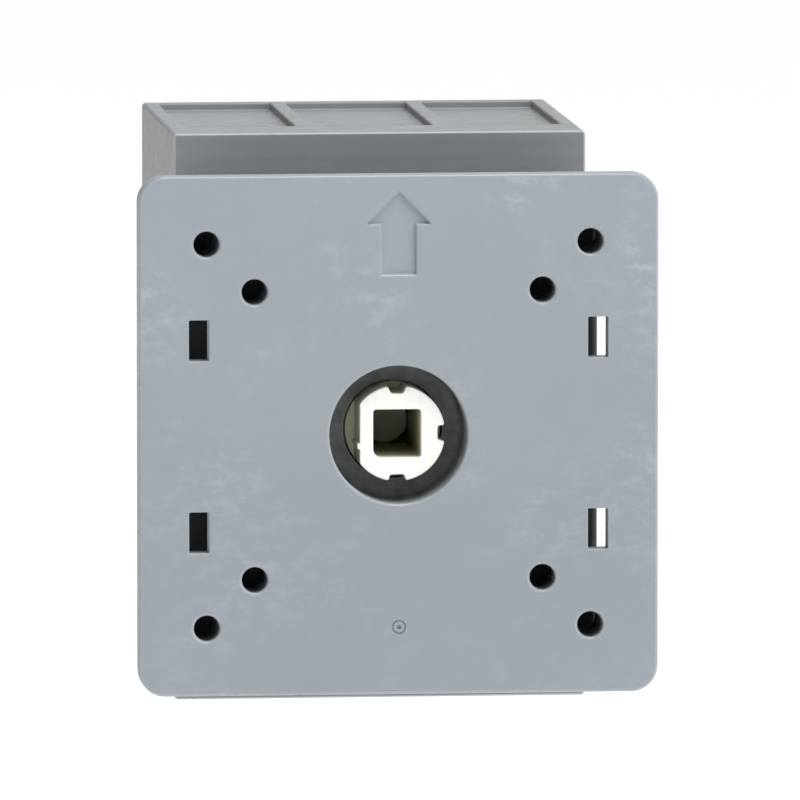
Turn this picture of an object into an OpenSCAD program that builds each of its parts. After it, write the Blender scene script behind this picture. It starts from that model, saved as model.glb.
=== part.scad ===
// Three-pole rotary switch-disconnector for mounting behind an enclosure door.
// Millimetres. X to the right, Y from the door into the enclosure, Z up.
// The origin is the centre of the front plate's front face, on the hub's axis.
// Everything is drawn in the OFF position with all six wire clamps open.

/* [Front plate] */
// Width and height of the square plate that lies against the door
plate_w = 65; // [62:1:70]
// Thickness of the plate
plate_t = 3; // [2.5:0.1:3.5]
// Radius of the plate's corners
plate_corner_r = 3.3; // [1:0.1:5]
// Spacing of the outer four screw holes
outer_spacing = 48; // [46:0.5:50]
// Spacing of the inner four screw holes
inner_spacing = 36; // [35:0.5:37]
// Diameter of all eight screw holes
screw_hole_d = 3.2; // [2.8:0.1:4]
// Diameter of the opening around the hub
collar_d = 17.3; // [16:0.1:18]
// Depth of the ON arrow's recess
arrow_depth = 0.5; // [0.2:0.05:0.6]

/* [Hub] */
// Diameter of the hub
hub_d = 12; // [11.6:0.1:12.2]
// Square socket for the operating shaft, across the flats
socket_w = 6; // [5:0.1:6.2]
// How far the hub's face lies behind the plate's face
hub_inset = 2; // [1:0.1:4]
// Radial running clearance of the hub and the cam in their bearings
running_clearance = 0.06; // [0.03:0.01:0.1]

/* [Housing] */
// Width across all three poles
body_w = 52; // [52:0.5:56]
// Height over both rows of terminals
body_h = 71.5; // [71:0.5:76]
// Depth from the plate's face to the back of the housing
total_depth = 71; // [71:0.5:76]
// Height of the neck that carries the mechanism
neck_h = 56; // [55.5:0.5:62]
// Distance between the centre lines of neighbouring poles
pole_pitch = 17.2; // [17:0.1:17.3]
// Width of the cable entries
entry_w = 10; // [8:0.5:10]

/* [Terminals] */
// Height of the terminal screws above and below the axis
screw_z = 26.8; // [26.6:0.1:27]
// Diameter of the terminal screw thread
terminal_screw_d = 4.9; // [4:0.1:5]
// Travel of each clamp from open to fully raised
clamp_travel = 8; // [5:0.5:8]

/* [Output] */
// Sub-part to draw, or all of them

/* [Hidden] */
$fn = 64;
e = 0.01;
poles = [1, 2, 3];
sides = [-1, 1];

// Colours
light_grey = [0.65, 0.67, 0.70];
body_grey = [0.55, 0.57, 0.58];
white_plastic = [0.95, 0.95, 0.93];
black_plastic = [0.13, 0.13, 0.14];
copper = [0.80, 0.52, 0.36];
silvered = [0.82, 0.82, 0.80];
zinc = [0.74, 0.75, 0.77];
steel = [0.60, 0.61, 0.63];

// Front plate
boss_r = 3.1;
boss_back = 9.7;
slot = [2.5, 5.1];
slot_x = 24.95;
slot_z = 12;
collar_wall = 2;
collar_floor = [8, 9.2];
collar_hole_r = 6.2;
collar_fillet = 0.8;
arrow_tip = 30.3;
arrow_shoulder = 26.4;
arrow_foot = 20.05;
arrow_half_head = 3.9;
arrow_half_shaft = 2.1;
gate_z = -24.05;

// Snap arms: inboard of the slots, hooked behind the neck's front wall
arm_x = [20.3, 21.8];
arm_w = 4.8;
arm_back = 15.2;
barb_reach = 0.8;
window_gap = 0.25;

// Depths of the layers, front to back
neck_front = 10;
neck_wall = 2.5;
body_front = 24;
slider_front = 27.2;
slider_web = 31.6;
slider_back = 33.4;
pole_wall_front = 33.7;
ledge_back = 34;
cover_front = total_depth - 2.5;
body_back = total_depth;

// Neck and mechanism
neck_side = 1.6;
neck_edge_r = 0.8;
pad_half_w = 8;
pad_z = 13.6;
screw_pos = [8.7, 23.6];
screw_boss_r = 3;
screw_head_seat = 12.8;
screw_tip = 32;
screw_shank_r = 1.5;
bearing_front = body_front;
bearing_back = 26.5;
bearing_z = 14.9;
journal_r = 6.4;

// Drive hub
hub_r = hub_d / 2;
hub_flat_x = -4.67;
key_depth = 8.3;
socket_chamfer = 0.6;
flange_r = 8.5;
flange = [12.6, 14.4];
core_r = 5.5;
core_back = 20;
spigot_r = 2.93;
spigot_front = 18.4;
lug = [10.6, 8];
lug_angle = 225;
stroke = 90;

// Torsion spring
spring_wire_r = 0.65;
spring_r = 6.55;
coil_pitch = 1.2;
coils = 4;
spring_front = 15.2;
leg_r = 10;
hub_leg_angle = 20;
cam_leg_angle = 160;

// Snap cam and its pinion
cam_r = 10;
cam_front = 20.3;
cam_back = 22.6;
gear_module = 0.8;
gear_teeth = 13;
pressure_angle = 20;
pitch_r = gear_module * gear_teeth / 2;
base_r = pitch_r * cos(pressure_angle);
tip_r = pitch_r + 0.8;
root_r = 4.4;
backlash = 0.16;
pinion_back = 31.2;
rack_addendum = 0.6;
rack_root = 1;
rack_pitch = PI * gear_module;
half_gap = rack_pitch / 4 - 0.04;
slider_travel = pitch_r * stroke * PI / 180;
rest_shift = -slider_travel / 2;

// Slider
slider_half_w = 19;
slider_half_h = 12.8;
window_half_w = 10.8;
carrier_half_w = 2.3;
carrier_half_h = 5.2;
carrier_back = 53;
carrier_slot_half = 1.3;
carrier_slot_front = 41.5;

// Contacts
strip = [46.5, 48.1];
contact_gap = 0.05;
bar_t = 1.7;
bar_half_h = 11;
bar_half_w = 2.2;
bar_waist_half_w = 1.2;
bar_waist_half_h = 5.6;
clip_t = 0.45;
clip_half_h = 2;
blade_tip_z = 7;
strip_end_z = 31.5;

// Wire clamps
cage_half_w = 5.6;
cage_wall = 1.2;
cage_floor = [34.7, 36.4];
cage_nut = [48.3, 50.5];
cage_z = [22.2, 31.4];
screw_seat = strip[1] + contact_gap;
screw_head_front = cage_nut[1] + clamp_travel + 0.2;
screw_head = [screw_head_front, screw_head_front + 2.7];
screw_head_r = 3.3;

// Terminal housing
side_wall = 2;
end_wall = 2;
pocket_depth = 1;
rib_x = [7.7, 9.7];
inner_x = body_w / 2 - side_wall;
inner_z = body_h / 2 - pocket_depth - end_wall;
half_h = body_h / 2;
cavity_half_h = 13;
partition = [16.5, 18.5];
pilot_clearance = 0.03;
entry = [36.8, 46.3];
strip_slot = [-4.3, 6.3];

// Rear cover
fit_gap = 0.1;
guide_r = 4.9;
guide_front = screw_head_front + 0.2;
guide_bore_r = screw_head_r + 0.15;
cover_screw_pos = [8.7, 10];
cover_boss_r = 2.8;
cover_boss_front = 55;
cover_screw_r = 1.2;

// Helpers ---------------------------------------------------------------

function pole_x(i) = (i - 2) * pole_pitch;
function chamber_x(i) = [[-inner_x, -rib_x[1]], [-rib_x[0], rib_x[0]], [rib_x[1], inner_x]][i - 1];
function polar(r, a) = [r * cos(a), r * sin(a)];
function involute_turn(a) = tan(a) * 180 / PI - a;

// Box between two corners, given as [low, high] in each direction
module box(x, y, z) {
    translate([x[0], y[0], z[0]]) cube([x[1] - x[0], y[1] - y[0], z[1] - z[0]]);
}

// Cylinder along Y
module rod(r, y) {
    translate([0, y[0], 0]) rotate([-90, 0, 0]) cylinder(r = r, h = y[1] - y[0]);
}

// Shape drawn in X and Z, given depth along Y
module along_y(y) {
    translate([0, y[1], 0]) rotate([90, 0, 0]) linear_extrude(y[1] - y[0]) children();
}

// Shape drawn in X and Y, given height along Z
module along_z(z) {
    translate([0, 0, z[0]]) linear_extrude(z[1] - z[0]) children();
}

module at(x, z) {
    translate([x, 0, z]) children();
}

module at_corners(x, z) {
    for (sx = sides, sz = sides) translate([sx * x, 0, sz * z]) children();
}

module rounded_rect(w, h, r) {
    square([w - 2 * r, h], center = true);
    square([w, h - 2 * r], center = true);
    for (sx = sides, sz = sides) translate([sx * (w / 2 - r), sz * (h / 2 - r)]) circle(r);
}

// Piece of a ring between two angles
module ring_piece(r_in, r_out, a0, a1) {
    mid = (a0 + a1) / 2;
    intersection() {
        difference() {
            circle(r_out);
            circle(r_in);
        }
        polygon([[0, 0], polar(2 * r_out, a0), polar(2 * r_out, mid), polar(2 * r_out, a1)]);
    }
}

// Front plate -----------------------------------------------------------

module arrow_outline() {
    polygon([
        [0, arrow_tip],
        [arrow_half_head, arrow_shoulder],
        [arrow_half_shaft, arrow_shoulder],
        [arrow_half_shaft, arrow_foot],
        [-arrow_half_shaft, arrow_foot],
        [-arrow_half_shaft, arrow_shoulder],
        [-arrow_half_head, arrow_shoulder]
    ]);
}

module snap_arm() {
    hook = neck_front + neck_wall + 0.1;
    polygon([
        [arm_x[0], plate_t - e],
        [arm_x[1], plate_t - e],
        [arm_x[1], hook],
        [arm_x[1] + barb_reach, hook + 0.15],
        [arm_x[1] + barb_reach, hook + 0.8],
        [arm_x[1], arm_back],
        [arm_x[0], arm_back]
    ]);
}

module gate_mark() {
    difference() {
        rod(0.9, [-1, 0.2]);
        rod(0.68, [-2, 1]);
    }
    rod(0.28, [-1, 0.3]);
}

// Round recess with a rounded corner between its wall and its floor
module collar_recess() {
    r = collar_d / 2 - collar_fillet;
    front = collar_floor[0] - collar_fillet;
    corner = [for (a = [0 : 15 : 90]) [r + collar_fillet * cos(a), front + collar_fillet * sin(a)]];
    rotate([-90, 0, 0]) rotate_extrude()
        polygon(concat([[0, -1], [r + collar_fillet, -1]], corner, [[0, collar_floor[0]]]));
}

module front_plate() {
    color(light_grey) difference() {
        union() {
            along_y([0, plate_t]) rounded_rect(plate_w, plate_w, plate_corner_r);
            rod(collar_d / 2 + collar_wall, [plate_t - e, collar_floor[1]]);
            at_corners(outer_spacing / 2, outer_spacing / 2) rod(boss_r, [plate_t - e, boss_back]);
            at_corners(inner_spacing / 2, inner_spacing / 2) rod(boss_r, [plate_t - e, boss_back]);
            for (m = [0, 1], sz = sides)
                mirror([m, 0, 0]) along_z([sz * slot_z - arm_w / 2, sz * slot_z + arm_w / 2]) snap_arm();
        }
        collar_recess();
        rod(collar_hole_r, [0, collar_floor[1] + 1]);
        at_corners(outer_spacing / 2, outer_spacing / 2) rod(screw_hole_d / 2, [-1, boss_back + 1]);
        at_corners(inner_spacing / 2, inner_spacing / 2) rod(screw_hole_d / 2, [-1, boss_back + 1]);
        at_corners(slot_x, slot_z) along_y([-1, plate_t + 1]) square(slot, center = true);
        along_y([-1, arrow_depth]) arrow_outline();
        at(0, gate_z) gate_mark();
    }
}

// Neck with the mechanism ------------------------------------------------

module neck_section() {
    half = body_w / 2;
    translate([-half, neck_front + neck_edge_r])
        square([body_w, body_front - neck_front - neck_edge_r]);
    translate([-half + neck_edge_r, neck_front]) square([body_w - 2 * neck_edge_r, neck_wall]);
    for (s = sides) translate([s * (half - neck_edge_r), neck_front + neck_edge_r]) circle(neck_edge_r);
}

module neck_cavity() {
    x = body_w / 2 - neck_side;
    z = neck_h / 2 - neck_side;
    difference() {
        box([-x, x], [neck_front + neck_wall, body_front + 1], [-z, z]);
        at_corners(screw_pos[0], screw_pos[1]) rod(screw_boss_r, [neck_front, body_front + 2]);
        for (s = sides) scale([1, 1, s])
            box([-pad_half_w, pad_half_w], [neck_front, body_front + 2], [pad_z, z + 1]);
        along_y([neck_front, flange[1] + 0.2]) hub_stops();
    }
}

// The hub's lug turns between these two stops
module hub_stops() {
    gap = lug[1] + 1;
    ring_piece(flange_r + 0.4, lug[0] + 0.4, lug_angle + gap, lug_angle + gap + 10);
    ring_piece(flange_r + 0.4, lug[0] + 0.4, lug_angle - stroke - gap - 10, lug_angle - stroke - gap);
}

module mechanism_housing() {
    window_x = [arm_x[0] - window_gap, arm_x[1] + window_gap];
    color(black_plastic) difference() {
        along_z([-neck_h / 2, neck_h / 2]) neck_section();
        neck_cavity();
        rod(hub_r + running_clearance, [neck_front - 1, neck_front + neck_wall + 1]);
        for (m = [0, 1], sz = sides)
            mirror([m, 0, 0]) box(window_x, [neck_front - 1, neck_front + neck_wall + 1],
                [sz * slot_z - arm_w / 2 - window_gap, sz * slot_z + arm_w / 2 + window_gap]);
        at_corners(screw_pos[0], screw_pos[1]) rod(2.8, [neck_front - 1, screw_head_seat]);
        at_corners(screw_pos[0], screw_pos[1]) rod(screw_shank_r + 0.15, [neck_front, body_front + 1]);
    }
}

module hub_keys() {
    translate([-hub_r - 1, -hub_r - 1]) square([hub_r + 1 + hub_flat_x, 2 * hub_r + 2]);
    polygon([[-1.17, hub_r + 0.1], [1.17, hub_r + 0.1], [0.85, hub_r - 1], [-0.85, hub_r - 1]]);
    translate([hub_r - 0.95, -0.95]) square([2, 1.9]);
    translate([-1, -hub_r - 1]) square([2, 1.85]);
}

module drive_hub() {
    half = socket_w / 2;
    cut = socket_chamfer;
    color(white_plastic) difference() {
        union() {
            difference() {
                rod(hub_r, [hub_inset, flange[0] + e]);
                along_y([hub_inset - 1, key_depth]) hub_keys();
            }
            box([hub_flat_x - 0.3, hub_flat_x + e], [hub_inset, key_depth], [-1.95, -1.25]);
            rod(flange_r, flange);
            along_y(flange) ring_piece(1, lug[0], lug_angle - lug[1], lug_angle + lug[1]);
            rod(core_r, [flange[1] - e, core_back]);
            along_y([flange[1] - e, spring_front + 1])
                ring_piece(flange_r - 0.7, lug[0], hub_leg_angle + 5.5, hub_leg_angle + 20);
            along_y([flange[0], flange[1]]) ring_piece(1, lug[0], hub_leg_angle - 4, hub_leg_angle + 20);
        }
        along_y([hub_inset - 1, core_back + 1])
            polygon([[half, half], [-half, half], [-half, cut - half], [cut - half, -half], [half, -half]]);
    }
}

module snap_spring() {
    last = spring_front + (coils - 1) * coil_pitch;
    color(steel) union() {
        for (k = [0 : coils - 1])
            translate([0, spring_front + k * coil_pitch, 0]) rotate([90, 0, 0])
                rotate_extrude() translate([spring_r, 0]) circle(spring_wire_r);
        spring_leg(spring_front, hub_leg_angle);
        spring_leg(last, cam_leg_angle);
    }
}

module spring_leg(y, a) {
    translate([0, y, 0]) rotate([0, -a, 0]) translate([spring_r, 0, 0])
        rotate([0, 90, 0]) cylinder(r = spring_wire_r, h = leg_r - spring_r);
}

// Half the angle a pinion tooth spans at radius r
function tooth_turn(r) =
    (rack_pitch / 2 - backlash) / pitch_r * 90 / PI
    + involute_turn(pressure_angle) - involute_turn(acos(base_r / r));

module pinion_tooth() {
    steps = [0 : 5];
    radii = [for (k = steps) base_r + (tip_r - base_r) * k / 5];
    up = [for (r = radii) polar(r, 90 - tooth_turn(r))];
    down = [for (k = steps) polar(radii[5 - k], 90 + tooth_turn(radii[5 - k]))];
    foot = tooth_turn(base_r);
    polygon(concat([polar(root_r - 0.3, 90 - foot)], up, down, [polar(root_r - 0.3, 90 + foot)]));
}

module snap_cam() {
    color(black_plastic) union() {
        rod(spigot_r, [spigot_front, cam_front + e]);
        rod(cam_r, [cam_front, cam_back]);
        for (s = sides)
            along_y([spring_front + (coils - 1) * coil_pitch - 0.6, cam_front + e])
                ring_piece(spring_r + 1.3, cam_r, cam_leg_angle + s * 5.5, cam_leg_angle + s * 18);
        rod(journal_r + 1.6, [cam_back - e, bearing_front - 0.1]);
        rod(journal_r, [cam_back, bearing_back + 0.3]);
        rod(root_r, [bearing_back, pinion_back]);
        along_y([bearing_back + 0.2, pinion_back])
            for (k = [0 : gear_teeth - 1]) rotate((k + 0.5) * 360 / gear_teeth) pinion_tooth();
    }
}

module bearing_plate() {
    color(light_grey) difference() {
        box([-inner_x + fit_gap, inner_x - fit_gap], [bearing_front, bearing_back],
            [-bearing_z + fit_gap, bearing_z - fit_gap]);
        rod(journal_r + running_clearance, [bearing_front - 1, bearing_back + 1]);
    }
}

module housing_screws() {
    color(zinc) at_corners(screw_pos[0], screw_pos[1]) difference() {
        union() {
            rod(2.6, [neck_front + 0.3, screw_head_seat]);
            rod(screw_shank_r, [screw_head_seat - e, screw_tip]);
        }
        for (a = [0, 90]) rotate([0, a, 0]) box([-1.5, 1.5], [neck_front, neck_front + 1.7], [-0.4, 0.4]);
    }
}

// Slider and moving contacts ----------------------------------------------

module rack_tooth() {
    tip = half_gap - rack_addendum * tan(pressure_angle);
    root = half_gap + rack_root * tan(pressure_angle);
    polygon([
        [-tip, pitch_r - rack_addendum],
        [tip, pitch_r - rack_addendum],
        [root, pitch_r + rack_root],
        [root, pitch_r + rack_root + 0.5],
        [-root, pitch_r + rack_root + 0.5],
        [-root, pitch_r + rack_root]
    ]);
}

module carrier() {
    side_slot = [strip[0] - contact_gap - bar_t - 1, strip[1] + contact_gap + bar_t + 1];
    difference() {
        box([-carrier_half_w, carrier_half_w], [slider_back - e, carrier_back],
            [-carrier_half_h, carrier_half_h]);
        box([-carrier_slot_half, carrier_slot_half], [carrier_slot_front, carrier_back + 1],
            [-carrier_half_h - 1, carrier_half_h + 1]);
        box([-carrier_half_w - 1, 0], side_slot, [-clip_half_h - 0.2, clip_half_h + 0.2]);
    }
}

module contact_slider() {
    color(black_plastic) union() {
        difference() {
            box([rest_shift - slider_half_w, rest_shift + slider_half_w], [slider_front, slider_back],
                [-slider_half_h, slider_half_h]);
            box([rest_shift - window_half_w, rest_shift + window_half_w], [slider_front - 1, slider_web],
                [-tip_r - 0.6, pitch_r + rack_root]);
        }
        along_y([slider_front, slider_web + e])
            for (k = [-5 : 2]) translate([k * rack_pitch, 0]) rack_tooth();
        for (i = poles) translate([pole_x(i) + rest_shift, 0, 0]) carrier();
    }
}

module bridge_bar(y) {
    along_y(y) union() {
        square([2 * bar_waist_half_w, 2 * bar_waist_half_h + 1], center = true);
        for (s = sides)
            translate([0, s * (bar_half_h + bar_waist_half_h) / 2])
                square([2 * bar_half_w, bar_half_h - bar_waist_half_h], center = true);
    }
}

module bridge_contact(i) {
    color(copper) translate([pole_x(i) + rest_shift, 0, 0]) {
        bridge_bar([strip[0] - contact_gap - bar_t, strip[0] - contact_gap]);
        bridge_bar([strip[1] + contact_gap, strip[1] + contact_gap + bar_t]);
    }
}

module contact_spring(i) {
    front = strip[0] - 2 * contact_gap - bar_t;
    back = strip[1] + 2 * contact_gap + bar_t;
    outer = bar_half_w - contact_gap;
    color(steel) translate([pole_x(i) + rest_shift, 0, 0]) along_z([-clip_half_h, clip_half_h])
        polygon([
            [1.1, front - clip_t],
            [-outer, front - clip_t],
            [-outer, back + clip_t],
            [1.1, back + clip_t],
            [1.1, back],
            [clip_t - outer, back],
            [clip_t - outer, front],
            [1.1, front]
        ]);
}

// Fixed contacts and wire clamps -------------------------------------------

module fixed_contact(i) {
    color(silvered) translate([pole_x(i), 0, 0]) along_y(strip) polygon([
        [-4, strip_end_z],
        [4, strip_end_z],
        [4, 21],
        [6, 19],
        [6, blade_tip_z],
        [1.6, blade_tip_z],
        [1.6, 14],
        [-1, 16],
        [-4, 19]
    ]);
}

module clamp_cage(i) {
    inner = cage_half_w - cage_wall;
    color(zinc) translate([pole_x(i), 0, 0]) difference() {
        box([-cage_half_w, cage_half_w], [cage_floor[0], cage_nut[1]], cage_z);
        box([-inner, inner], [cage_floor[1], cage_nut[0]], [cage_z[0] - 1, cage_z[1] + 1]);
        at(0, screw_z) rod(terminal_screw_d / 2 + contact_gap, [cage_nut[0] - 1, cage_nut[1] + 1]);
    }
}

module clamp_screw(i) {
    color(zinc) translate([pole_x(i), 0, screw_z]) difference() {
        union() {
            rod(terminal_screw_d / 2, [screw_seat, screw_head[0] + e]);
            rod(screw_head_r, screw_head);
        }
        for (a = [0, 90]) rotate([0, a, 0])
            box([-2, 2], [screw_head[1] - 1.6, screw_head[1] + 1], [-0.5, 0.5]);
    }
}

// Terminal housing and rear cover --------------------------------------------

module end_pockets() {
    for (i = poles) box(chamber_x(i), [ledge_back, cover_front + 0.5], [half_h - pocket_depth, half_h + 1]);
}

module terminal_chambers() {
    for (i = poles) {
        box(chamber_x(i), [bearing_back, cover_front + 1], [partition[1], inner_z]);
        translate([pole_x(i), 0, 0])
            box([-entry_w / 2, entry_w / 2], entry, [inner_z - 1, half_h + 1]);
        translate([pole_x(i), 0, 0])
            box(strip_slot, [strip[0] - 0.1, cover_front + 1], [partition[0] - 1, partition[1] + 1]);
    }
}

module terminal_housing() {
    color(body_grey) difference() {
        along_y([body_front, body_back]) rounded_rect(body_w, body_h, 0.5);
        difference() {
            for (s = sides) scale([1, 1, s]) {
                end_pockets();
                terminal_chambers();
            }
            at_corners(screw_pos[0], screw_pos[1]) rod(screw_boss_r, [body_front, screw_tip + 2]);
        }
        difference() {
            for (i = poles)
                box(chamber_x(i), [pole_wall_front, cover_front + 1], [-partition[0], partition[0]]);
            at_corners(cover_screw_pos[0], cover_screw_pos[1])
                rod(cover_boss_r, [cover_boss_front, cover_front + 2]);
        }
        box([-inner_x, inner_x], [bearing_front, pole_wall_front + e], [-cavity_half_h, cavity_half_h]);
        box([-inner_x, inner_x], [bearing_front - 1, bearing_back], [-bearing_z, bearing_z]);
        box([-inner_x, inner_x], [cover_front, body_back + 1], [end_wall - half_h, half_h - end_wall]);
        at_corners(screw_pos[0], screw_pos[1])
            rod(screw_shank_r + pilot_clearance, [body_front - 1, screw_tip + 1]);
        at_corners(cover_screw_pos[0], cover_screw_pos[1])
            rod(cover_screw_r + pilot_clearance, [cover_front - 9, cover_front + 1]);
    }
}

module rear_cover() {
    x = inner_x - fit_gap;
    z = half_h - end_wall - fit_gap;
    color(black_plastic) difference() {
        union() {
            box([-x, x], [cover_front, body_back], [-z, z]);
            for (i = poles, s = sides) {
                at(pole_x(i), s * screw_z) rod(guide_r, [guide_front, cover_front + e]);
                scale([1, 1, s]) translate([pole_x(i), 0, 0])
                    box([strip_slot[0] + fit_gap, strip_slot[1] - fit_gap],
                        [strip[1] + fit_gap, cover_front + e],
                        [partition[0] + fit_gap, partition[1] - fit_gap]);
            }
        }
        for (i = poles, s = sides) at(pole_x(i), s * screw_z)
            rod(guide_bore_r, [guide_front - 1, body_back + 1]);
        at_corners(cover_screw_pos[0], cover_screw_pos[1]) {
            rod(cover_screw_r + 0.15, [cover_front - 1, body_back + 1]);
            rod(2.5, [body_back - 1.6, body_back + 1]);
        }
    }
}

module cover_screws() {
    color(zinc) at_corners(cover_screw_pos[0], cover_screw_pos[1]) difference() {
        union() {
            rod(cover_screw_r, [cover_front - 8, body_back - 1.6 + e]);
            rod(2.35, [body_back - 1.6, body_back - 0.1]);
        }
        for (a = [0, 90]) rotate([0, a, 0]) box([-1.4, 1.4], [body_back - 1.1, body_back + 1], [-0.35, 0.35]);
    }
}

// Drawing -----------------------------------------------------------------

front_plate();
mechanism_housing();
bearing_plate();
terminal_housing();
rear_cover();
housing_screws();
cover_screws();
drive_hub();
snap_spring();
snap_cam();
contact_slider();
for (i = poles) {
    bridge_contact(i);
    contact_spring(i);
    fixed_contact(i);
    mirror([0, 0, 1]) fixed_contact(i);
    clamp_cage(i);
    mirror([0, 0, 1]) clamp_cage(i);
    clamp_screw(i);
    mirror([0, 0, 1]) clamp_screw(i);
}
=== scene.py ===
"""Rotary isolator switch, door mounted: the looks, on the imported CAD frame."""
import math

import bmesh
import bpy
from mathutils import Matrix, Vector
from mathutils.geometry import delaunay_2d_cdt


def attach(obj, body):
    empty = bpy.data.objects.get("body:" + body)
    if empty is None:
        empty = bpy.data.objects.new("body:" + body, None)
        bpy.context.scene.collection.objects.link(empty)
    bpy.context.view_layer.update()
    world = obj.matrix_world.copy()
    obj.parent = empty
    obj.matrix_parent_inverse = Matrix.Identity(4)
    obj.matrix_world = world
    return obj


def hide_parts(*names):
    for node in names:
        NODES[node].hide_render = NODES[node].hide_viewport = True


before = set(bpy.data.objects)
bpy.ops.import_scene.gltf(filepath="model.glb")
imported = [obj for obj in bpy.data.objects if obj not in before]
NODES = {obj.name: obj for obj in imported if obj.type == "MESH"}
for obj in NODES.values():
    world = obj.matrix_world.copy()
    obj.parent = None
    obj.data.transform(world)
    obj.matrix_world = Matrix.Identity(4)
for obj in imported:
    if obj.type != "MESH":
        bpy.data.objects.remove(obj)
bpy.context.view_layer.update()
MM = 0.001
POLES = (1, 2, 3)
SIDES = ("line", "load")

# Places on the part that looks and edges depend on, in mm
BORE_PLACES = (18, 24)
BORE_REACH = 1.95
COLLAR_REACH = 8.72
SOCKET_REACH = 3.08
SPIGOT_END = 19
SLOT_Z = 12
ARROW_X = 4.5
ARROW_Z = (19, 31)
GATE_MARK_Z = -24.05
GATE_MARK_REACH = 1.2
MARK_DEPTH = 1


# Material nodes ------------------------------------------------------------


def srgb(r, g, b):
    """Linear colour from sRGB values of 0 to 255."""

    def one(c):
        c /= 255
        return c / 12.92 if c <= 0.04045 else ((c + 0.055) / 1.055) ** 2.4

    return (one(r), one(g), one(b), 1)


def shade(colour, factor):
    return tuple(factor * c for c in colour[:3]) + (1,)


class Nodes:
    """A small builder for one material's node tree."""

    def __init__(self, name):
        self.mat = bpy.data.materials.new(name)
        self.mat.use_nodes = True
        self.tree = self.mat.node_tree
        self.tree.nodes.clear()
        self.out = self.add("ShaderNodeOutputMaterial")
        self.bsdf = self.add("ShaderNodeBsdfPrincipled")
        self.link(self.bsdf.outputs["BSDF"], self.out.inputs["Surface"])
        coords = self.add("ShaderNodeTexCoord")
        self.place = coords.outputs["Object"]

    def add(self, kind, **settings):
        node = self.tree.nodes.new(kind)
        for key, value in settings.items():
            setattr(node, key, value)
        return node

    def link(self, a, b):
        self.tree.links.new(a, b)

    def noise(self, scale, detail=3.0, rough=0.55, stretch=None, offset=0.0):
        """Noise in object space, scale in features per metre."""
        node = self.add("ShaderNodeTexNoise")
        node.inputs["Scale"].default_value = scale
        node.inputs["Detail"].default_value = detail
        node.inputs["Roughness"].default_value = rough
        mapping = self.add("ShaderNodeMapping")
        mapping.inputs["Location"].default_value = (offset, offset * 0.7, offset * 1.3)
        if stretch:
            mapping.inputs["Scale"].default_value = stretch
        self.link(self.place, mapping.inputs["Vector"])
        self.link(mapping.outputs["Vector"], node.inputs["Vector"])
        return node.outputs["Fac"]

    def ramp(self, fac, low, high, a=0.0, b=1.0):
        """fac from low..high to a..b, clamped."""
        node = self.add("ShaderNodeMapRange")
        node.inputs["From Min"].default_value = low
        node.inputs["From Max"].default_value = high
        node.inputs["To Min"].default_value = a
        node.inputs["To Max"].default_value = b
        self.link(fac, node.inputs["Value"])
        return node.outputs["Result"]

    def math(self, op, a, b):
        node = self.add("ShaderNodeMath", operation=op)
        for socket, value in zip(node.inputs, (a, b)):
            if isinstance(value, (int, float)):
                socket.default_value = value
            else:
                self.link(value, socket)
        return node.outputs["Value"]

    def axes(self):
        """The object's X, Y and Z at the shaded point."""
        split = self.add("ShaderNodeSeparateXYZ")
        self.link(self.place, split.inputs["Vector"])
        return [split.outputs[axis] for axis in "XYZ"]

    def radius(self, a, b):
        return self.math("SQRT", self.math("ADD", self.square(a), self.square(b)), 0)

    def square(self, a):
        return self.math("MULTIPLY", a, a)

    def mix(self, fac, a, b):
        """Colour a to colour b by fac. Either may be a socket."""
        node = self.add("ShaderNodeMix", data_type="RGBA")
        self.link(fac, node.inputs[0])
        for socket, value in ((node.inputs[6], a), (node.inputs[7], b)):
            if isinstance(value, tuple):
                socket.default_value = value
            else:
                self.link(value, socket)
        return node.outputs[2]

    def colour(self, value):
        self.link(value, self.bsdf.inputs["Base Color"])

    def rough(self, value):
        self.link(value, self.bsdf.inputs["Roughness"])

    def bump(self, height, distance, strength=1.0, under=None):
        node = self.add("ShaderNodeBump")
        node.inputs["Distance"].default_value = distance
        node.inputs["Strength"].default_value = strength
        self.link(height, node.inputs["Height"])
        if under is not None:
            self.link(under, node.inputs["Normal"])
        self.link(node.outputs["Normal"], self.bsdf.inputs["Normal"])
        return node.outputs["Normal"]


# Materials -------------------------------------------------------------------


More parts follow.
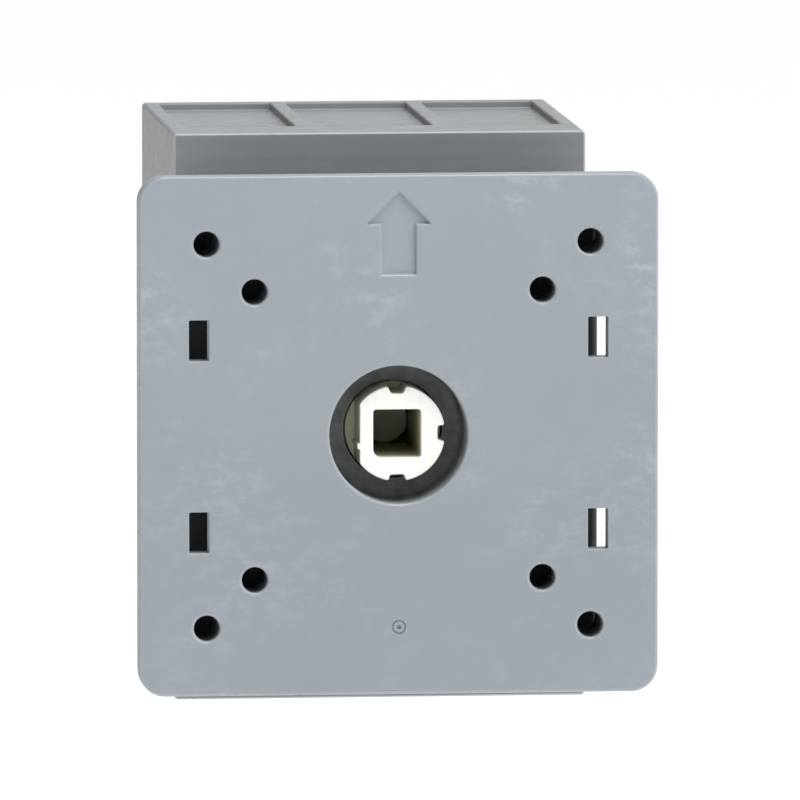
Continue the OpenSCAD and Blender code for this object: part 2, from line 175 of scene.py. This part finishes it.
def moulded(
    name, base, worn_and_lit_tone, rough=(0.42, 0.58), grain=0.016, scuffs=0.3, bands=0.0, deep=None, rising_scuffs_and_light=False
):
    """Injection-moulded plastic: spark-eroded grain, flow mottle, flow bands and faint scuffs.

    deep(nodes, tone) changes the tone inside hollows: painted shade on the plate and hub, painted bounce
    light on the cam. With rising, scuffs are thicker towards the top, and a painted light lightens the whole
    piece towards its top.
    """
    n = Nodes(name)
    broad = n.noise(42, detail=4, rough=0.6)
    tone = n.mix(n.ramp(broad, 0.35, 0.7), base, shade(base, 0.95))
    if deep:
        tone = deep(n, tone)
    patches = n.ramp(n.noise(62, detail=2, offset=3.4), 0.46, 0.72)
    streaks = n.ramp(n.noise(300, detail=6, rough=0.7, stretch=(1, 1, 1.5), offset=0.9), 0.48, 0.74)
    marks = n.math("MULTIPLY", n.math("MULTIPLY", patches, streaks), scuffs)
    # Painted light: the added 0.09 mixes in the worn tone everywhere, half as much at the bottom and one and
    # a half times at the top, so the piece lightens upwards; the scuffs thicken upwards too.
    if rising_scuffs_and_light:
        scuffs_and_light_rise = n.ramp(n.axes()[2], -20 * MM, 32 * MM, 0.5, 1.5)
        marks = n.math("MULTIPLY", n.math("ADD", marks, 0.09), scuffs_and_light_rise)
    tone = n.mix(marks, tone, worn_and_lit_tone)
    if bands:
        lines = n.noise(260, detail=4, rough=0.7, stretch=(0.05, 0.6, 3.2), offset=4.0)
        tone = n.mix(n.math("MULTIPLY", n.ramp(lines, 0.35, 0.68), bands), tone, shade(base, 0.72))
    specks = n.noise(1500, detail=3, rough=0.7, offset=0.3)
    grit = n.math("MULTIPLY", n.ramp(specks, 0.3, 0.75), 0.08)
    n.colour(n.mix(grit, tone, shade(base, 0.74)))
    n.rough(n.ramp(n.noise(380, detail=4, offset=1.7), 0.3, 0.7, *rough))
    low = n.bump(broad, 0.05 * MM, 0.35)
    n.bump(n.noise(5200, detail=2, rough=0.5), grain * MM, 0.8, under=low)
    return n.mat


def metal(name, base, dark, rough=(0.25, 0.42), stretch=(1, 1, 1), grain=0.012):
    """Plated or bare metal with fine rolling marks and slight tarnish."""
    n = Nodes(name)
    n.bsdf.inputs["Metallic"].default_value = 1
    lines = n.noise(2400, detail=3, rough=0.6, stretch=stretch)
    stain = n.noise(160, detail=5, rough=0.65, offset=0.4)
    n.colour(n.mix(n.ramp(stain, 0.4, 0.75), base, dark))
    n.rough(n.ramp(lines, 0.3, 0.7, *rough))
    n.bump(lines, grain * MM, 0.6)
    return n.mat


def plate_bores_painted_shade(n, tone):
    """The plate's screw holes and collar get painted shade, darker the deeper they go, in a mottled grey."""
    x, y, z = n.axes()
    out = [n.math("ABSOLUTE", axis, 0) for axis in (x, z)]
    bores = n.math("LESS_THAN", n.radius(x, z), COLLAR_REACH * MM)
    for at in BORE_PLACES:
        across = (n.math("SUBTRACT", axis, at * MM) for axis in out)
        bores = n.math("ADD", bores, n.math("LESS_THAN", n.radius(*across), BORE_REACH * MM))
    # Painted shade: darker with depth inside the screw holes and the collar.
    painted_shade = n.math("MULTIPLY", bores, n.ramp(y, 0.3 * MM, 3.2 * MM, 0, 0.9))
    shade_mottle = n.ramp(n.noise(520, detail=4, rough=0.65, offset=6.0), 0.35, 0.68)
    return n.mix(painted_shade, tone, n.mix(shade_mottle, srgb(90, 92, 89), srgb(130, 132, 131)))


def spigot_painted_glow(n, tone):
    """Painted bounce light on the cam's spigot where the hub's socket ends, pale yellow and lighter towards
    its top.
    """
    _, y, z = n.axes()
    ahead = n.math("LESS_THAN", y, SPIGOT_END * MM)
    # Painted bounce light: lighter and yellower towards the top.
    painted_glow = n.mix(n.ramp(z, 0.6 * MM, 2.4 * MM), srgb(176, 178, 164), srgb(226, 224, 150))
    return n.mix(ahead, tone, painted_glow)


def hub_painted_shade(n, tone):
    """Painted shade on the hub: its plastic turns olive with depth, and the shaft's socket darkens further
    inside.
    """
    x, y, z = n.axes()
    # Painted shade: the hub turns olive beyond 2.3 mm deep.
    tone = n.mix(n.ramp(y, 2.3 * MM, 4.5 * MM), tone, srgb(205, 203, 172))
    out = n.math("MAXIMUM", n.math("ABSOLUTE", x, 0), n.math("ABSOLUTE", z, 0))
    inside = n.math("LESS_THAN", out, SOCKET_REACH * MM)
    # Painted shade inside the shaft's socket, darker the deeper it goes.
    socket_painted_shade = n.math("MULTIPLY", inside, n.ramp(y, 2.2 * MM, 9 * MM))
    return n.mix(socket_painted_shade, tone, srgb(164, 162, 132))


PLATE = moulded(
    "plate_plastic", srgb(141, 148, 155), srgb(192, 197, 202), scuffs=0.55, deep=plate_bores_painted_shade, rising_scuffs_and_light=True
)
# The arris materials are a painted highlight: lighter than their mouldings, for the rounded outward edges.
# Their lower roughness is real.
PLATE_PAINTED_RIM = moulded("plate_painted_rim", srgb(153, 160, 166), srgb(196, 200, 203), (0.24, 0.36), 0.006)
BODY = moulded("housing_plastic", srgb(140, 144, 147), srgb(182, 184, 186), scuffs=0.25, bands=0.35)
BODY_PAINTED_RIM = moulded("housing_painted_rim", srgb(172, 175, 177), srgb(190, 192, 194), (0.3, 0.42), 0.006)
BLACK = moulded("black_moulding", srgb(30, 30, 32), srgb(58, 58, 60), scuffs=0.25)
BLACK_PAINTED_RIM = moulded("black_painted_rim", srgb(48, 48, 50), srgb(64, 64, 66), (0.28, 0.4), 0.006)
CAM = moulded("cam_plastic", srgb(30, 30, 32), srgb(58, 58, 60), scuffs=0.2, deep=spigot_painted_glow)
IVORY = moulded(
    "ivory_plastic", srgb(250, 249, 245), srgb(254, 254, 252), (0.3, 0.42), 0.008, scuffs=0.1, deep=hub_painted_shade
)
ZINC = metal("zinc_plate", srgb(196, 199, 204), srgb(160, 164, 168))
STEEL = metal("steel_wire", srgb(150, 152, 156), srgb(110, 112, 116), stretch=(1, 6, 1))
COPPER = metal("copper_bar", srgb(214, 148, 110), srgb(150, 92, 64), stretch=(8, 1, 1))
SILVER = metal("silver_plate", srgb(214, 212, 206), srgb(170, 166, 156), stretch=(8, 1, 1))


# Mesh tools ------------------------------------------------------------------

# How far from a plane, in metres, a vertex may lie and still be in it
FLATNESS = 1e-6
# The face strength that weighted normals follow first
STRONG_FACE = 16384


def new_object(name, bm):
    mesh = bpy.data.meshes.new(name)
    bm.to_mesh(mesh)
    bm.free()
    obj = bpy.data.objects.new(name, mesh)
    bpy.context.scene.collection.objects.link(obj)
    return obj


def clean_copy(node, name):
    """A copy of a CAD node's mesh with its triangles merged back into flat faces."""
    bm = bmesh.new()
    bm.from_mesh(NODES[node].data)
    bmesh.ops.remove_doubles(bm, verts=bm.verts, dist=2e-6)
    bmesh.ops.dissolve_limit(bm, angle_limit=math.radians(0.5), verts=bm.verts, edges=bm.edges)
    bmesh.ops.recalc_face_normals(bm, faces=bm.faces)
    return new_object(name, bm)


def smooth_by_angle(mesh, degrees):
    """Smooth faces with sharp edges where the surface turns by more than the angle."""
    bm = bmesh.new()
    bm.from_mesh(mesh)
    limit = math.radians(degrees)
    for face in bm.faces:
        face.smooth = True
    for edge in bm.edges:
        edge.smooth = len(edge.link_faces) == 2 and edge.calc_face_angle(0) < limit
    bm.to_mesh(mesh)
    bm.free()


def apply_modifiers(obj):
    bpy.context.view_layer.update()
    done = obj.evaluated_get(bpy.context.evaluated_depsgraph_get())
    mesh = bpy.data.meshes.new_from_object(done)
    obj.modifiers.clear()
    obj.data = mesh


def flat_region(start, done):
    """The faces joined to start that lie in its plane."""
    normal, origin = start.normal.copy(), start.verts[0].co.copy()
    region, front = {start}, [start]
    while front:
        for edge in front.pop().edges:
            for face in edge.link_faces:
                if face in region or face in done:
                    continue
                if all(abs((v.co - origin).dot(normal)) < FLATNESS for v in face.verts):
                    region.add(face)
                    front.append(face)
    return region, normal


def is_inside(point, lines):
    """Even-odd test of a point against a closed outline's lines."""
    inside = False
    for a, b in lines:
        if (a.y > point.y) != (b.y > point.y):
            if point.x < a.x + (point.y - a.y) / (b.y - a.y) * (b.x - a.x):
                inside = not inside
    return inside


def fill_flats(mesh):
    """Fills every flat area again between its outlines, so that none of its triangles fold over."""
    bm = bmesh.new()
    bm.from_mesh(mesh)
    strength = bm.faces.layers.int.get("__mod_weightednormals_faceweight")
    done = set()
    regions = []
    for face in sorted(bm.faces, key=lambda f: -f.calc_area()):
        if face not in done:
            region, normal = flat_region(face, done)
            done |= region
            if len(region) > 1 or len(face.verts) > 4:
                regions.append((region, normal))
    for region, normal in regions:
        edges = {e for f in region for e in f.edges if sum(g in region for g in e.link_faces) == 1}
        verts = list({v for e in edges for v in e.verts})
        index = {v: i for i, v in enumerate(verts)}
        u = normal.orthogonal().normalized()
        w = normal.cross(u)
        flat = [Vector((v.co.dot(u), v.co.dot(w))) / MM for v in verts]
        pairs = [tuple(index[v] for v in e.verts) for e in edges]
        out, _, faces, origins, _, _ = delaunay_2d_cdt(flat, pairs, [], 0, 1e-6)
        if any(len(ids) != 1 for ids in origins):
            continue
        lines = [(flat[a], flat[b]) for a, b in pairs]
        source = [ids[0] for ids in origins]
        bmesh.ops.delete(bm, geom=list(region), context="FACES")
        for tri in faces:
            if is_inside(sum((out[i] for i in tri), Vector((0, 0))) / 3, lines):
                face = bm.faces.new([verts[source[i]] for i in tri])
                face.smooth = True
                face[strength] = STRONG_FACE
    bm.normal_update()
    bm.to_mesh(mesh)
    bm.free()


def is_arris(face):
    """Does the surface bend outwards round this face?"""
    return sum(edge.calc_face_angle_signed(0) for edge in face.edges) > 0


def clear_hollows(mesh, plain):
    """Leaves the lighter edge material, a painted highlight, on outward edges only.

    plain(point in mm, normal) says where it isn't left at all.
    """
    bm = bmesh.new()
    bm.from_mesh(mesh)
    for face in bm.faces:
        middle = face.calc_center_median() / MM
        if face.material_index and (not is_arris(face) or (plain and plain(middle, face.normal))):
            face.material_index = 0
    bm.to_mesh(mesh)
    bm.free()


def soften(obj, width, segments=2, finer=None, plain=None, limit=32):
    """Rounds the piece's edges as a mould does.

    finer(middle in mm, direction) may give an edge its own width, up to the general one.
    """
    smooth_by_angle(obj.data, limit)
    bm = bmesh.new()
    bm.from_mesh(obj.data)
    weight = bm.edges.layers.float.new("bevel_weight_edge")
    for edge in bm.edges:
        if not edge.smooth:
            a, b = (v.co for v in edge.verts)
            own = finer((a + b) / (2 * MM), (b - a).normalized()) if finer else width
            edge[weight] = min(width, own) / width
            edge.smooth = True
    bm.to_mesh(obj.data)
    bm.free()
    bevel = obj.modifiers.new("edges", "BEVEL")
    bevel.width = width * MM
    bevel.segments = segments
    bevel.limit_method = "WEIGHT"
    bevel.use_clamp_overlap = False
    bevel.loop_slide = False
    bevel.miter_outer = "MITER_ARC"
    bevel.face_strength_mode = "FSTR_ALL"
    # The rounded faces take the last material, on the mouldings a lighter one: a painted highlight.
    bevel.material = len(obj.data.materials) - 1
    apply_modifiers(obj)
    fill_flats(obj.data)
    clear_hollows(obj.data, plain)
    normals = obj.modifiers.new("normals", "WEIGHTED_NORMAL")
    normals.use_face_influence = True
    return obj


def stand_in(obj, node, body):
    """obj moves with the body and is shown in place of the node, which is hidden."""
    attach(obj, body)
    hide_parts(node)


def refined(node, body, materials, width, segments=2, finer=None, plain=None):
    """A piece that stands for a CAD node, with rounded edges in the last of its materials, on the mouldings
    a lighter one that paints a highlight.
    """
    obj = clean_copy(node, node + "_refined")
    for material in materials:
        obj.data.materials.append(material)
    soften(obj, width, segments, finer, plain)
    stand_in(obj, node, body)


def sweep(bm, path, outline):
    """A closed bar along a path. outline(k) gives its section's points round path point k."""
    rings = [[bm.verts.new(p) for p in outline(k)] for k in range(len(path))]
    for a, b in zip(rings, rings[1:]):
        for k in range(len(a)):
            j = (k + 1) % len(a)
            bm.faces.new((a[k], a[j], b[j], b[k]))
    bm.faces.new(rings[0])
    bm.faces.new(rings[-1])
    bmesh.ops.recalc_face_normals(bm, faces=bm.faces)
    for face in bm.faces:
        face.smooth = len(face.verts) == 4


def rounded(path, times=3):
    """Cuts a path's corners round."""
    for _ in range(times):
        cut = [path[0]]
        for a, b in zip(path, path[1:]):
            cut += [a.lerp(b, 0.25), a.lerp(b, 0.75)]
        path = cut + [path[-1]]
    return path


def polar(radius, degrees, y):
    a = math.radians(degrees)
    return Vector((radius * math.cos(a), y, radius * math.sin(a)))


SPRING_RADIUS = 6.55
SPRING_LEG = (10, 8.6, 7.6)
SPRING_WIRE = 0.65
SPRING_Y = (15.2, 18.8)
SPRING_START = 20
SPRING_TURN = 860
WIRE_SIDES = 14


def torsion_spring():
    """One wire: a leg against the hub, the coil, and a leg against the cam."""
    front, back = SPRING_Y
    steps = SPRING_TURN // 10
    coil = [
        polar(SPRING_RADIUS, SPRING_START + SPRING_TURN * k / steps, front + (back - front) * k / steps)
        for k in range(steps + 1)
    ]
    end = SPRING_START + SPRING_TURN
    legs = [[polar(r, a, y) for r in SPRING_LEG] for a, y in ((SPRING_START, front), (end, back))]
    path = rounded(legs[0] + coil + legs[1][::-1])

    def outline(k):
        ahead = (path[min(k + 1, len(path) - 1)] - path[max(k - 1, 0)]).normalized()
        up = (Vector((0, 1, 0)) - ahead * ahead.y).normalized()
        out = ahead.cross(up)
        turns = (2 * math.pi * j / WIRE_SIDES for j in range(WIRE_SIDES))
        return [MM * (path[k] + SPRING_WIRE * (math.cos(t) * out + math.sin(t) * up)) for t in turns]

    bm = bmesh.new()
    sweep(bm, path, outline)
    obj = new_object("snap_spring_wound", bm)
    obj.data.materials.append(STEEL)
    stand_in(obj, "snap_spring", "hub")


POLE_PITCH = 17.2
SCREW_Z = 26.8
THREAD_ROOT = 2.12
THREAD_CREST = 2.45
THREAD_PITCH = 0.8
THREAD_Y = (48.6, 57.6)
THREAD_STEPS = 20
RIDGE_SUNK = 0.1
RIDGE_FOOT = 0.3
RIDGE_TOP = 0.05
SHANK_INSIDE = 2


def terminal_screw(side, i):
    """The node's head and shank, with the shank cut down to the root of a wound thread."""
    node = f"{side}_screw_{i}"
    centre = Vector(((i - 2) * POLE_PITCH, 0, SCREW_Z if side == "line" else -SCREW_Z))
    obj = clean_copy(node, node + "_threaded")
    obj.data.materials.append(ZINC)
    for vert in obj.data.vertices:
        p = vert.co / MM - centre
        across = math.hypot(p.x, p.z)
        if p.y < THREAD_Y[1] and across > SHANK_INSIDE:
            scale = THREAD_ROOT / across
            vert.co = MM * (centre + Vector((scale * p.x, p.y, scale * p.z)))
    soften(obj, 0.16)
    count = round((THREAD_Y[1] - THREAD_Y[0]) / THREAD_PITCH * THREAD_STEPS)
    path = [
        polar(1, 360 * k / THREAD_STEPS, THREAD_Y[0] + THREAD_PITCH * k / THREAD_STEPS)
        for k in range(count + 1)
    ]

    def outline(k):
        """A ridge that runs out at both ends."""
        fade = min(1, k / THREAD_STEPS, (count - k) / THREAD_STEPS)
        crest = THREAD_ROOT + (THREAD_CREST - THREAD_ROOT) * fade
        a = 360 * k / THREAD_STEPS
        y = path[k].y
        foot = THREAD_ROOT - RIDGE_SUNK
        section = ((foot, -RIDGE_FOOT), (crest, -RIDGE_TOP), (crest, RIDGE_TOP), (foot, RIDGE_FOOT))
        return [MM * (centre + polar(r, a, y + dy)) for r, dy in section]

    bm = bmesh.new()
    sweep(bm, path, outline)
    bm.from_mesh(obj.data)
    bm.to_mesh(obj.data)
    bm.free()
    stand_in(obj, node, f"{side}_screw_body_{i}")


PLATE_EDGE = 0.38
HUB_EDGE = 0.34
HUB_RIM = 0.13


def plate_edge(p, _way):
    """Edge radii of the front plate: small on the marks, slots, snap arms and the collar's floor."""
    if p.y < MARK_DEPTH and max(abs(p.x), abs(p.z - GATE_MARK_Z)) < GATE_MARK_REACH:
        return 0.05
    if on_arrow(p):
        return 0.32 if p.y < 0.1 else 0.14
    if p.y > 6 and math.hypot(p.x, p.z) < 7.2:
        return 0.12
    in_slot = 23.5 < abs(p.x) < 26.4 and abs(abs(p.z) - SLOT_Z) < 2.7
    on_arm = p.y > 2.9 and 20 < abs(p.x) < 23 and abs(abs(p.z) - SLOT_Z) < 2.6
    if in_slot or on_arm:
        return 0.15
    return PLATE_EDGE


def on_arrow(p):
    return p.y < MARK_DEPTH and abs(p.x) < ARROW_X and ARROW_Z[0] < p.z < ARROW_Z[1]


def under_arrow(p, normal):
    """The arrow's rims that don't face up: they get no painted highlight, so only the up-facing rims look
    lit.
    """
    return on_arrow(p) and normal.z < 0.15


# Edges inside the housing's pockets get no painted highlight.
def in_pocket(p, _normal):
    return abs(p.z) > 34 and abs(p.x) < 24.6 and p.y > 30


def body_edge(p, _way):
    """Edge radii of the terminal housing: small where two features nearly meet."""
    in_notch = abs(p.x) > 23 and p.y > 46 and 16 < abs(p.z) < 19
    in_boss = p.y > 54 and 7 < abs(p.x) < 12 and 7 < abs(p.z) < 13
    return 0.08 if in_notch or in_boss else 0.25


def cam_edge(p, _way):
    """Edge radii of the cam: small on the pinion's teeth."""
    return 0.06 if p.y > 26.4 and math.hypot(p.x, p.z) > 4.2 else 0.25


def slider_edge(p, _way):
    """Edge radii of the slider: small on the rack and round the clips' seats."""
    in_rack = p.y < 32 and 3.5 < p.z < 7.2
    return 0.07 if in_rack or p.y > 40 else 0.25


def hub_edge(p, way):
    """Edge radii of the hub: rounder on the upright corners of its keyways, flat and socket."""
    if p.y > 8.5 and max(abs(p.x), abs(p.z)) > 3.1:
        return HUB_RIM
    if -5.1 < p.x < -4.6 and -2.1 < p.z < -1.1:
        return 0.07
    return HUB_EDGE if abs(way.y) > 0.9 else HUB_RIM


refined("front_plate", "housing", (PLATE, PLATE_PAINTED_RIM), PLATE_EDGE, 3, plate_edge, under_arrow)
refined("mechanism_housing", "housing", (BLACK, BLACK_PAINTED_RIM), 0.2)
refined("terminal_housing", "housing", (BODY, BODY_PAINTED_RIM), 0.25, 3, body_edge, in_pocket)
refined("rear_cover", "housing", (BLACK, BLACK_PAINTED_RIM), 0.2)
refined("drive_hub", "hub", (IVORY,), HUB_EDGE, 2, hub_edge)

refined("bearing_plate", "housing", (PLATE,), 0.3)
refined("snap_cam", "cam", (CAM,), 0.25, 2, cam_edge)
refined("contact_slider", "slider", (BLACK, BLACK_PAINTED_RIM), 0.25, 2, slider_edge)
for node in ("housing_screws", "cover_screws"):
    refined(node, "housing", (ZINC,), 0.12)
torsion_spring()
for i in POLES:
    refined(f"bridge_contact_{i}", "slider", (COPPER,), 0.2)
    refined(f"contact_spring_{i}", "slider", (STEEL,), 0.08)
    for side in SIDES:
        refined(f"{side}_contact_{i}", "housing", (SILVER,), 0.18)
        refined(f"{side}_cage_{i}", f"{side}_cage_body_{i}", (ZINC,), 0.25)
        terminal_screw(side, i)


# Floor, light and camera -----------------------------------------------------

FLOOR_Z = -0.12
CAMERA_PLACE = (-0.210498, -2.097633, 0.220489)
CAMERA_WAY = (0.09939387, 0.98980899, -0.10197557)
CAMERA_LENS = 766.4


def make_floor(z):
    bm = bmesh.new()
    bmesh.ops.create_grid(bm, x_segments=2, y_segments=2, size=40)
    floor = new_object("floor", bm)
    floor.location.z = z
    n = Nodes("floor_paint")
    n.bsdf.inputs["Roughness"].default_value = 0.9
    n.colour(n.mix(n.noise(3), (0.95, 0.95, 0.95, 1), (0.93, 0.93, 0.93, 1)))
    n.bsdf.inputs["Emission Color"].default_value = (1, 1, 1, 1)
    n.bsdf.inputs["Emission Strength"].default_value = 0.35
    floor.data.materials.append(n.mat)


def area_light(name, place, target, size, power, colour=(1, 1, 1)):
    data = bpy.data.lights.new(name, "AREA")
    data.shape = "RECTANGLE"
    data.size, data.size_y = size
    data.energy = power
    data.color = colour
    light = bpy.data.objects.new(name, data)
    light.location = place
    light.rotation_euler = (Vector(target) - Vector(place)).to_track_quat("-Z", "Y").to_euler()
    bpy.context.scene.collection.objects.link(light)
    return light


def studio_world(front, back, dark, left, above):
    """White surroundings: bright round the front, dark behind the camera, dimmer left and above."""
    world = bpy.data.worlds.new("studio")
    bpy.context.scene.world = world
    world.use_nodes = True
    tree = world.node_tree
    coords = tree.nodes.new("ShaderNodeTexCoord")
    split = tree.nodes.new("ShaderNodeSeparateXYZ")
    tree.links.new(coords.outputs["Generated"], split.inputs["Vector"])

    def span(socket, low, high, a, b):
        node = tree.nodes.new("ShaderNodeMapRange")
        node.interpolation_type = "SMOOTHSTEP"
        for name, value in (("From Min", low), ("From Max", high), ("To Min", a), ("To Max", b)):
            node.inputs[name].default_value = value
        tree.links.new(socket, node.inputs["Value"])
        return node.outputs["Result"]

    def times(a, b):
        node = tree.nodes.new("ShaderNodeMath")
        node.operation = "MULTIPLY"
        tree.links.new(a, node.inputs[0])
        tree.links.new(b, node.inputs[1])
        return node.outputs["Value"]

    ring = span(split.outputs["Y"], -0.35, 0.15, front, back)
    tent = span(split.outputs["Y"], -0.92, -0.74, dark, 1.0)
    side = span(split.outputs["X"], -0.8, 0.5, left, 1.0)
    roof = span(split.outputs["Z"], 0.3, 0.9, 1.0, above)
    backdrop = tree.nodes["Background"]
    backdrop.inputs["Color"].default_value = (1, 1, 1, 1)
    level = times(times(ring, tent), times(side, roof))
    tree.links.new(level, backdrop.inputs["Strength"])


make_floor(FLOOR_Z)
studio_world(front=2.3, back=1.2, dark=0.1, left=0.165, above=0.42)
area_light("top", (0.1, -0.25, 1.0), (0, 0, 0), (0.45, 0.45), 7.0)

scene = bpy.context.scene
scene.view_settings.view_transform = "Standard"
scene.view_settings.look = "None"

cam_data = bpy.data.cameras.new("camera")
cam_data.sensor_width = 36
cam_data.lens = CAMERA_LENS
cam_data.clip_end = 100
camera = bpy.data.objects.new("camera", cam_data)
camera.location = CAMERA_PLACE
camera.rotation_euler = Vector(CAMERA_WAY).to_track_quat("-Z", "Y").to_euler()
scene.collection.objects.link(camera)
scene.camera = camera
